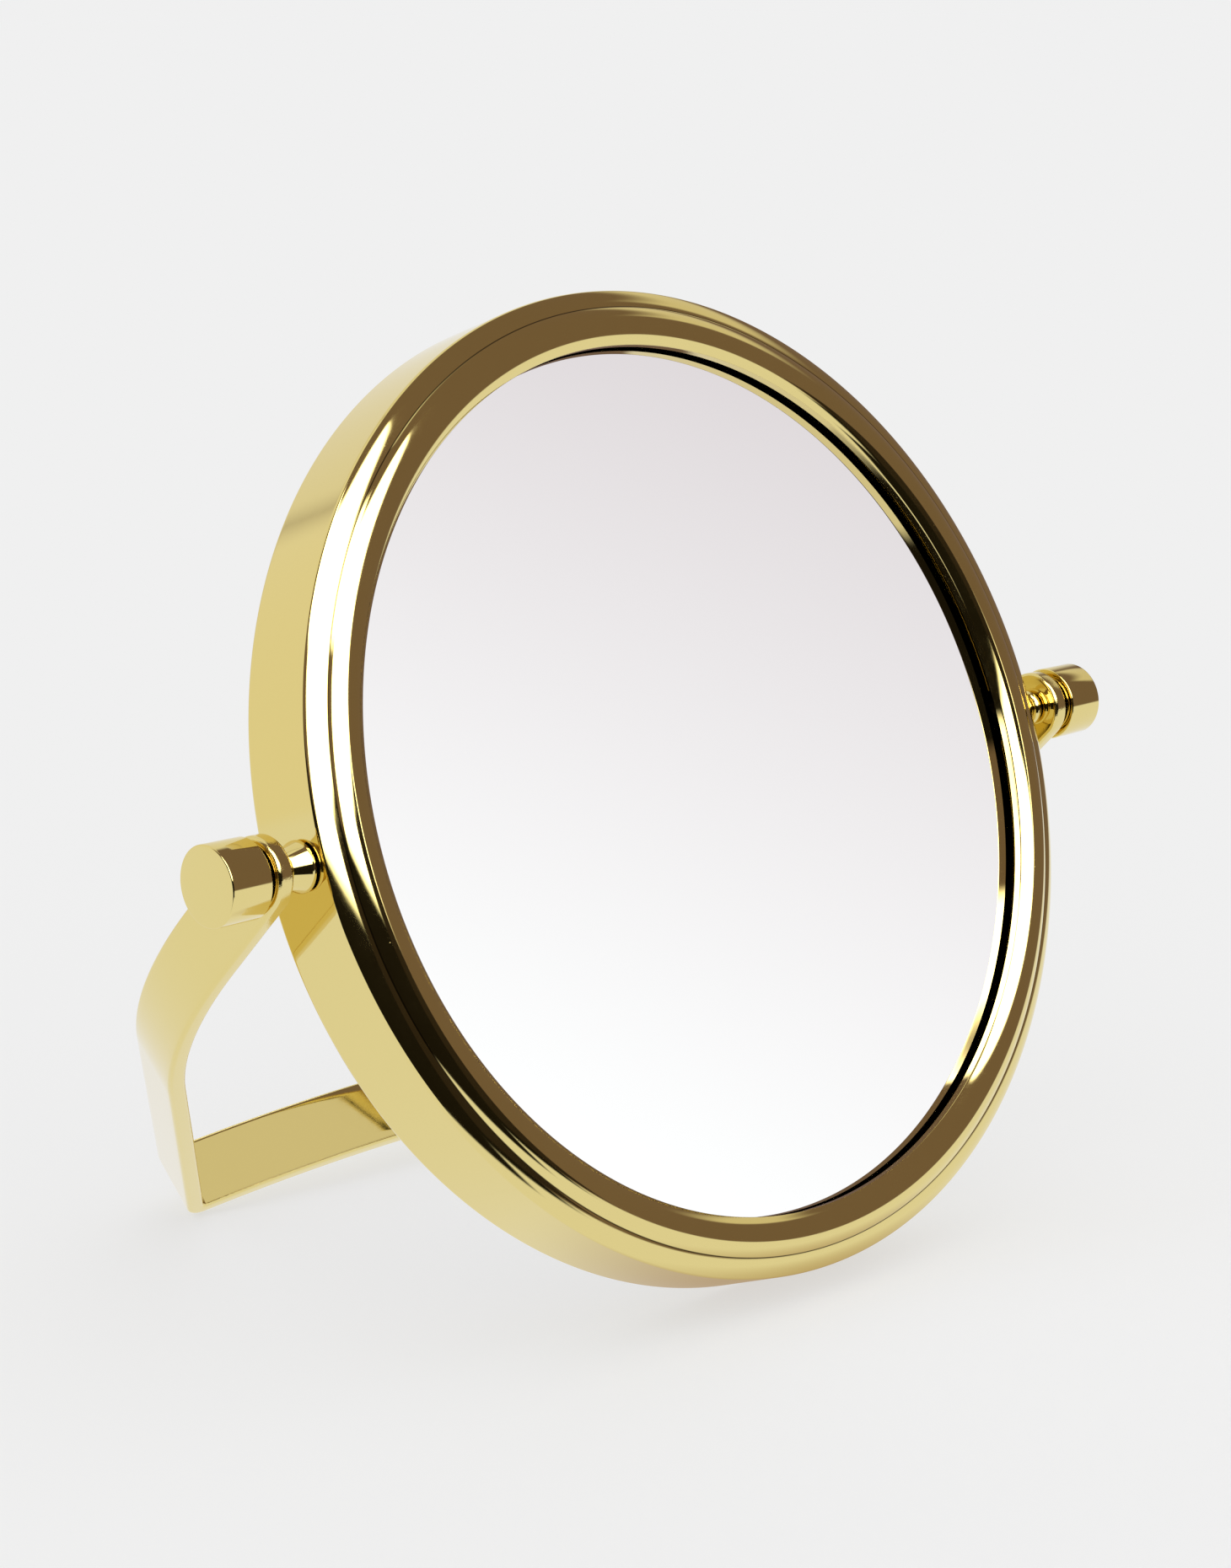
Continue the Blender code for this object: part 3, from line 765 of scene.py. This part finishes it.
class MIRROR_OT_stand(bpy.types.Operator):
    """Bend the strip of the stand, with its round ends and eased edges."""

    bl_idname = "mirror.stand"
    bl_label = "Stand"

    def execute(self, context):
        """One direction goes round the strip's flat outline, two straight sides and two half circles.
        The other goes across its edge: from the middle line of the outer face out to the edge, round
        it, and back to the middle line of the inner face. The flat strip is then laid on the line."""
        sizes = context.scene.mirror_stand
        points, headings = stand_line(sizes)
        steps = np.linalg.norm(np.diff(points, axis=0), axis=1)
        place = np.concatenate([[0.0], np.cumsum(steps)])
        half = sizes.width / 2
        cap = np.linspace(math.pi / 2, 3 * math.pi / 2, 40)[1:-1]
        start_x, start_w = half * np.cos(cap), half * np.sin(cap)
        side_x, side_w = np.zeros_like(place), np.full_like(place, half)
        middle_s = np.concatenate([place[::-1], np.zeros_like(cap), place, np.full_like(cap, place[-1])])
        out_s = np.concatenate([side_x, start_x, side_x, -start_x])
        out_w = np.concatenate([side_w, start_w, -side_w, -start_w])
        edge = sizes.edge / half
        quarter = np.linspace(0.0, math.pi / 2, 8)
        rise_one = np.stack([1 - edge + edge * np.sin(quarter), sizes.edge * (1 - np.cos(quarter))], axis=1)
        rise_two = np.stack([rise_one[::-1, 0], sizes.thickness - rise_one[::-1, 1]], axis=1)
        flat = np.linspace(0.0, 1 - edge, 6)[:-1]
        share = np.concatenate([flat, rise_one[:, 0], rise_two[:, 0], flat[::-1]])
        top = np.zeros_like(flat)
        sunk = np.concatenate([top, rise_one[:, 1], rise_two[:, 1], top + sizes.thickness])

        along = middle_s[None, :] + share[:, None] * out_s[None, :]
        across = share[:, None] * out_w[None, :]
        inside = np.clip(along, 0.0, place[-1])
        x = np.interp(inside, place, points[:, 0])
        z = np.interp(inside, place, points[:, 1])
        heading = np.interp(inside, place, headings)
        beyond = along - inside
        x = x + beyond * np.cos(heading) + sunk[:, None] * np.sin(heading)
        z = z + beyond * np.sin(heading) - sunk[:, None] * np.cos(heading)
        grid = np.stack([x, across, z], axis=-1)
        angle = prop_angle(sizes)
        side = (half - sizes.edge / 2) / MM
        blanked = (side, side + sizes.thickness / MM)
        material = gold_plate("bent_gold_plate", context.scene.mirror_finishes.plate, blanked=blanked)
        piece = skin("stand_strip", turned_about_pivot(grid, angle), False, material)
        stand_in(piece, "stand", "stand_bracket")
        return {"FINISHED"}


class MIRROR_OT_core(bpy.types.Operator):
    """Give the hidden pieces between the glasses and the fasteners their finishes."""

    bl_idname = "mirror.core"
    bl_label = "Core"

    def execute(self, context):
        """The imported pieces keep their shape, and each takes the finish of its real material."""
        codes = context.scene.mirror_finishes
        zinc = zinc_plate("barrel_zinc_plate", codes.zinc)
        foam = cell_foam("sliced_cell_foam", codes.foam)
        nylon = natural_nylon("moulded_natural_nylon", codes.nylon)
        finishes = {"front_pad": foam, "back_pad": foam, "backing_plate": zinc, "spacer_ring": nylon}
        for word, _ in SIDES:
            finishes[word + "_nut"] = zinc
            finishes[word + "_lock_washer"] = zinc
        for node, material in finishes.items():
            frame["nodes"][node].data.materials.clear()
            frame["nodes"][node].data.materials.append(material)
        return {"FINISHED"}


# Stage


def toward(azimuth, elevation=0.0):
    """Unit direction from the mirror. Azimuth 0 is straight in front of it and 90 is along +X."""
    a, e = math.radians(azimuth), math.radians(elevation)
    return np.array([math.sin(a) * math.cos(e), -math.cos(a) * math.cos(e), math.sin(e)])


def stage_sheet(name, corners, emission):
    """A flat sheet of the stage that only mirrors see, and its node tree with an emission shader."""
    mesh = bpy.data.meshes.new(name)
    mesh.from_pydata(np.array(corners), [], [(0, 1, 2, 3)])
    layer = mesh.uv_layers.new(name="Sheet")
    layer.data.foreach_set("uv", [0.0, 0.0, 1.0, 0.0, 1.0, 1.0, 0.0, 1.0])
    material, tree, shader = material_tree(name)
    tree.nodes.clear()
    glow = add(tree, "ShaderNodeEmission", {"Color": (*emission, 1.0)})
    output = add(tree, "ShaderNodeOutputMaterial", None, {"Surface": glow.outputs["Emission"]})
    mesh.materials.append(material)
    piece = bpy.data.objects.new(name, mesh)
    bpy.context.collection.objects.link(piece)
    piece.visible_camera = False
    piece.visible_diffuse = False
    piece.visible_shadow = False
    return piece, tree, glow, output


def contact_shade():
    """The paper that the rim stands on is shaded by it, as the rim's wall mirrors it.

    It is an oval patch, darkest in its middle, and just above the floor.
    """
    contact = np.array([PIVOT[0], -39.5 * MM, 0.15 * MM])
    wide = np.array([55.0 * MM, 0.0, 0.0])
    deep = np.array([0.0, 30.0 * MM, 0.0])
    corners = [contact - wide - deep, contact + wide - deep, contact + wide + deep, contact - wide + deep]
    piece, tree, glow, output = stage_sheet("contact_shade", corners, (0.50, 0.38, 0.25))
    where = add(tree, "ShaderNodeTexCoord")
    centered = add(
        tree, "ShaderNodeMapping", {"Location": (-1.0, -1.0, 0.0), "Scale": (2.0, 2.0, 0.0)},
        {"Vector": where.outputs["UV"]},
    )
    reach = add(tree, "ShaderNodeVectorMath", {"operation": "LENGTH"}, {0: centered.outputs["Vector"]})
    share = add(
        tree, "ShaderNodeMapRange", {"From Min": 0.1, "interpolation_type": "SMOOTHSTEP"},
        {"Value": reach.outputs["Value"]},
    )
    clear = add(tree, "ShaderNodeBsdfTransparent")
    mixed = add(
        tree, "ShaderNodeMixShader", None,
        {"Fac": share.outputs["Result"], 1: glow.outputs["Emission"], 2: clear.outputs["BSDF"]},
    )
    tree.links.new(mixed.outputs["Shader"], output.inputs["Surface"])


def glass_card():
    """A large pale card that lights the plane glass alone, darker and pinker towards its top right.

    It shows only in what the camera or a view sees directly in the glass, not in a mirror's mirror.
    """
    azimuth = 46.4
    elevation = 16.0
    distance = 0.9
    half = 0.45
    center = PIVOT + distance * toward(azimuth, elevation)
    side = toward(azimuth + 90.0)
    up = toward(azimuth, elevation + 90.0)
    corners = [center + half * (x * side + y * up) for x, y in ((-1, -1), (1, -1), (1, 1), (-1, 1))]
    piece, tree, glow, output = stage_sheet("glass_card", corners, (1.0, 1.0, 1.0))
    where = add(tree, "ShaderNodeTexCoord")
    diagonal = add(tree, "ShaderNodeVectorMath", {"operation": "DOT_PRODUCT"}, {0: where.outputs["UV"]})
    diagonal.inputs[1].default_value = (0.5, 0.5, 0.0)
    blend = add(tree, "ShaderNodeMix", {"data_type": "RGBA"}, {"Factor": diagonal.outputs["Value"]})
    blend.inputs["A"].default_value = (1.185, 1.328, 1.303, 1.0)
    blend.inputs["B"].default_value = (0.385, 0.352, 0.387, 1.0)
    tree.links.new(blend.outputs["Result"], glow.inputs["Color"])
    ray = add(tree, "ShaderNodeLightPath")
    direct = add(tree, "ShaderNodeMath", {"operation": "LESS_THAN"}, {0: ray.outputs["Ray Depth"]})
    direct.inputs[1].default_value = 1.5
    tree.links.new(direct.outputs["Value"], glow.inputs["Strength"])
    clear = add(tree, "ShaderNodeBsdfTransparent")
    both = add(tree, "ShaderNodeAddShader", None, {0: glow.outputs["Emission"], 1: clear.outputs["BSDF"]})
    tree.links.new(both.outputs["Shader"], output.inputs["Surface"])
    lit = bpy.data.collections.new("lit_by_glass_card")
    lit.objects.link(bpy.data.objects["plane_glass"])
    piece.light_linking.receiver_collection = lit


def window(tree, azimuth, elevation, left, right, low, high, soft):
    """How far a direction is inside a span of azimuth and elevation, in degrees, from 0 to 1.

    It is the product of four smooth steps, each as wide as soft.
    """
    steps = []
    edges = ((azimuth, left, 1), (azimuth, right, -1), (elevation, low, 1), (elevation, high, -1))
    for value, edge, way in edges:
        reach = way * soft / 2
        span = {"From Min": edge - reach, "From Max": edge + reach, "interpolation_type": "SMOOTHSTEP"}
        steps.append(add(tree, "ShaderNodeMapRange", span, {"Value": value}).outputs["Result"])
    while len(steps) > 1:
        node = add(tree, "ShaderNodeMath", {"operation": "MULTIPLY"})
        tree.links.new(steps.pop(), node.inputs[0])
        tree.links.new(steps.pop(), node.inputs[1])
        steps.insert(0, node.outputs["Value"])
    return steps[0]


# Softboxes, walls and paper of the studio as mirrors see them: span of azimuth, span of elevation and
# soft edge, in degrees, and brightness. A later one covers those before it. Azimuth 0 is straight in
# front of the mirror and 90 is along +X.
STUDIO = (
    ("backdrop", 126, 181, -90, 90, 12, (0.86, 0.86, 0.86)),
    ("backdrop_left", -181, -130, -90, 90, 12, (0.90, 0.90, 0.90)),
    ("pale_wall", 74, 118, 28, 40, 7, (0.75, 0.72, 0.66)),
    ("paper", -181, 181, -91, -7, 3, (0.90, 0.93, 1.05)),
    ("dark_room", -125, 2, -22, 19, 4, (0.012, 0.010, 0.008)),
    ("dark_room_edge", -2, 18, -11, 19, 4, (0.012, 0.010, 0.008)),
    ("softbox", -46, 27, 18, 71, 5, (5.0, 5.0, 5.0)),
    ("softbox_high", -85, -40, 50, 76, 5, (5.0, 5.0, 5.0)),
    ("screen", 5, 25, -5, 25, 2, (0.03, 0.022, 0.018)),
)
ROOM = (0.20, 0.145, 0.13)  # what mirrors see where none of them is


def studio(world, pale):
    """Light of the studio: even white for the floor, and windows on a dim warm room for mirrors."""
    world.use_nodes = True
    tree = world.node_tree
    tree.nodes.clear()
    where = add(tree, "ShaderNodeTexCoord")
    axes = add(tree, "ShaderNodeSeparateXYZ", None, {"Vector": where.outputs["Generated"]})
    turn = add(tree, "ShaderNodeMath", {"operation": "ARCTAN2"})
    flip = add(tree, "ShaderNodeMath", {"operation": "MULTIPLY"}, {0: axes.outputs["Y"]})
    flip.inputs[1].default_value = -1.0
    tree.links.new(axes.outputs["X"], turn.inputs[0])
    tree.links.new(flip.outputs["Value"], turn.inputs[1])
    azimuth = add(tree, "ShaderNodeMath", {"operation": "DEGREES"}, {0: turn.outputs["Value"]})
    rise = add(tree, "ShaderNodeMath", {"operation": "ARCSINE"}, {0: axes.outputs["Z"]})
    elevation = add(tree, "ShaderNodeMath", {"operation": "DEGREES"}, {0: rise.outputs["Value"]})
    seen = None
    for name, left, right, low, high, soft, color in STUDIO:
        place = (azimuth.outputs["Value"], elevation.outputs["Value"])
        share = window(tree, *place, left, right, low, high, soft)
        mix = add(tree, "ShaderNodeMix", {"data_type": "RGBA", "label": name})
        tree.links.new(share, mix.inputs["Factor"])
        if seen is None:
            mix.inputs["A"].default_value = (*ROOM, 1.0)
        else:
            tree.links.new(seen, mix.inputs["A"])
        mix.inputs["B"].default_value = (*color, 1.0)
        seen = mix.outputs["Result"]
    glossy = add(tree, "ShaderNodeBackground", None, {"Color": seen})
    fill = add(tree, "ShaderNodeBackground", {"Color": (1.0, 1.0, 1.0, 1.0)})
    sheet = add(tree, "ShaderNodeBackground", {"Color": pale})
    ray = add(tree, "ShaderNodeLightPath")
    lit = add(
        tree, "ShaderNodeMixShader", None,
        {"Fac": ray.outputs["Is Glossy Ray"], 1: fill.outputs[0], 2: glossy.outputs[0]},
    )
    final = add(
        tree, "ShaderNodeMixShader", None,
        {"Fac": ray.outputs["Is Camera Ray"], 1: lit.outputs[0], 2: sheet.outputs[0]},
    )
    add(tree, "ShaderNodeOutputWorld", None, {"Surface": final.outputs[0]})


class MIRROR_OT_stage(bpy.types.Operator):
    """Set the pale floor, the soft studio light and the camera."""

    bl_idname = "mirror.stage"
    bl_label = "Stage"

    def execute(self, context):
        """The floor is one large pale square, which mirrors see as the studio's paper instead. The
        camera looks slightly down on the mirror from its front left."""
        scene = context.scene
        scene.view_settings.view_transform = "Standard"
        pale = linear(scene.mirror_finishes.floor)

        reach = 6.0
        mesh = bpy.data.meshes.new("floor")
        corners = [(-reach, -reach, 0), (reach, -reach, 0), (reach, reach, 0), (-reach, reach, 0)]
        mesh.from_pydata(corners, [], [(0, 1, 2, 3)])
        material, tree, shader = material_tree("lit_paper")
        scattered = 0.3
        shader.inputs["Base Color"].default_value = tuple(scattered * c for c in pale[:3]) + (1.0,)
        shader.inputs["Roughness"].default_value = 1.0
        shader.inputs["Specular IOR Level"].default_value = 0.0
        shader.inputs["Emission Color"].default_value = pale
        shader.inputs["Emission Strength"].default_value = 1.0 - scattered
        mesh.materials.append(material)
        floor = bpy.data.objects.new("floor", mesh)
        floor.visible_glossy = False
        context.collection.objects.link(floor)

        contact_shade()
        glass_card()
        world = bpy.data.worlds.new("studio")
        scene.world = world
        studio(world, pale)

        data = bpy.data.cameras.new("camera")
        data.lens = 89.39
        data.sensor_width = 36.0
        data.sensor_height = 36.0
        camera = bpy.data.objects.new("camera", data)
        context.collection.objects.link(camera)
        camera.location = (-0.40696, -0.42195, 0.19988)
        camera.rotation_euler = (math.radians(90.0 - 12.53), math.radians(0.15), math.radians(-44.39))
        scene.camera = camera
        return {"FINISHED"}


# Add-on


STEPS = (
    MIRROR_OT_rim,
    MIRROR_OT_bezel,
    MIRROR_OT_glasses,
    MIRROR_OT_pivots,
    MIRROR_OT_stand,
    MIRROR_OT_core,
    MIRROR_OT_stage,
)


class MIRROR_PT_panel(bpy.types.Panel):
    """Sidebar panel with the sizes, the finishes and a button for each step."""

    bl_label = "Table Mirror"
    bl_space_type = "VIEW_3D"
    bl_region_type = "UI"
    bl_category = "Mirror"

    def draw(self, context):
        """Draw the settings, then the buttons."""
        for group in (context.scene.mirror_head, context.scene.mirror_stand, context.scene.mirror_finishes):
            box = self.layout.box()
            for key in group.__annotations__:
                box.prop(group, key)
        for step in STEPS:
            self.layout.operator(step.bl_idname)


GROUPS = {"mirror_head": HeadSizes, "mirror_stand": StandSizes, "mirror_finishes": Finishes}


def register():
    """Register the settings, the operators and the panel."""
    for name, group in GROUPS.items():
        bpy.utils.register_class(group)
        setattr(bpy.types.Scene, name, bpy.props.PointerProperty(type=group))
    for step in STEPS:
        bpy.utils.register_class(step)
    bpy.utils.register_class(MIRROR_PT_panel)


def unregister():
    """Undo register."""
    bpy.utils.unregister_class(MIRROR_PT_panel)
    for step in reversed(STEPS):
        bpy.utils.unregister_class(step)
    for name, group in GROUPS.items():
        delattr(bpy.types.Scene, name)
        bpy.utils.unregister_class(group)


def main():
    """Build the mirror."""
    register()
    bpy.ops.mirror.rim()
    bpy.ops.mirror.bezel()
    bpy.ops.mirror.glasses()
    bpy.ops.mirror.pivots()
    bpy.ops.mirror.stand()
    bpy.ops.mirror.core()
    bpy.ops.mirror.stage()


if __name__ == "__main__":
    main()
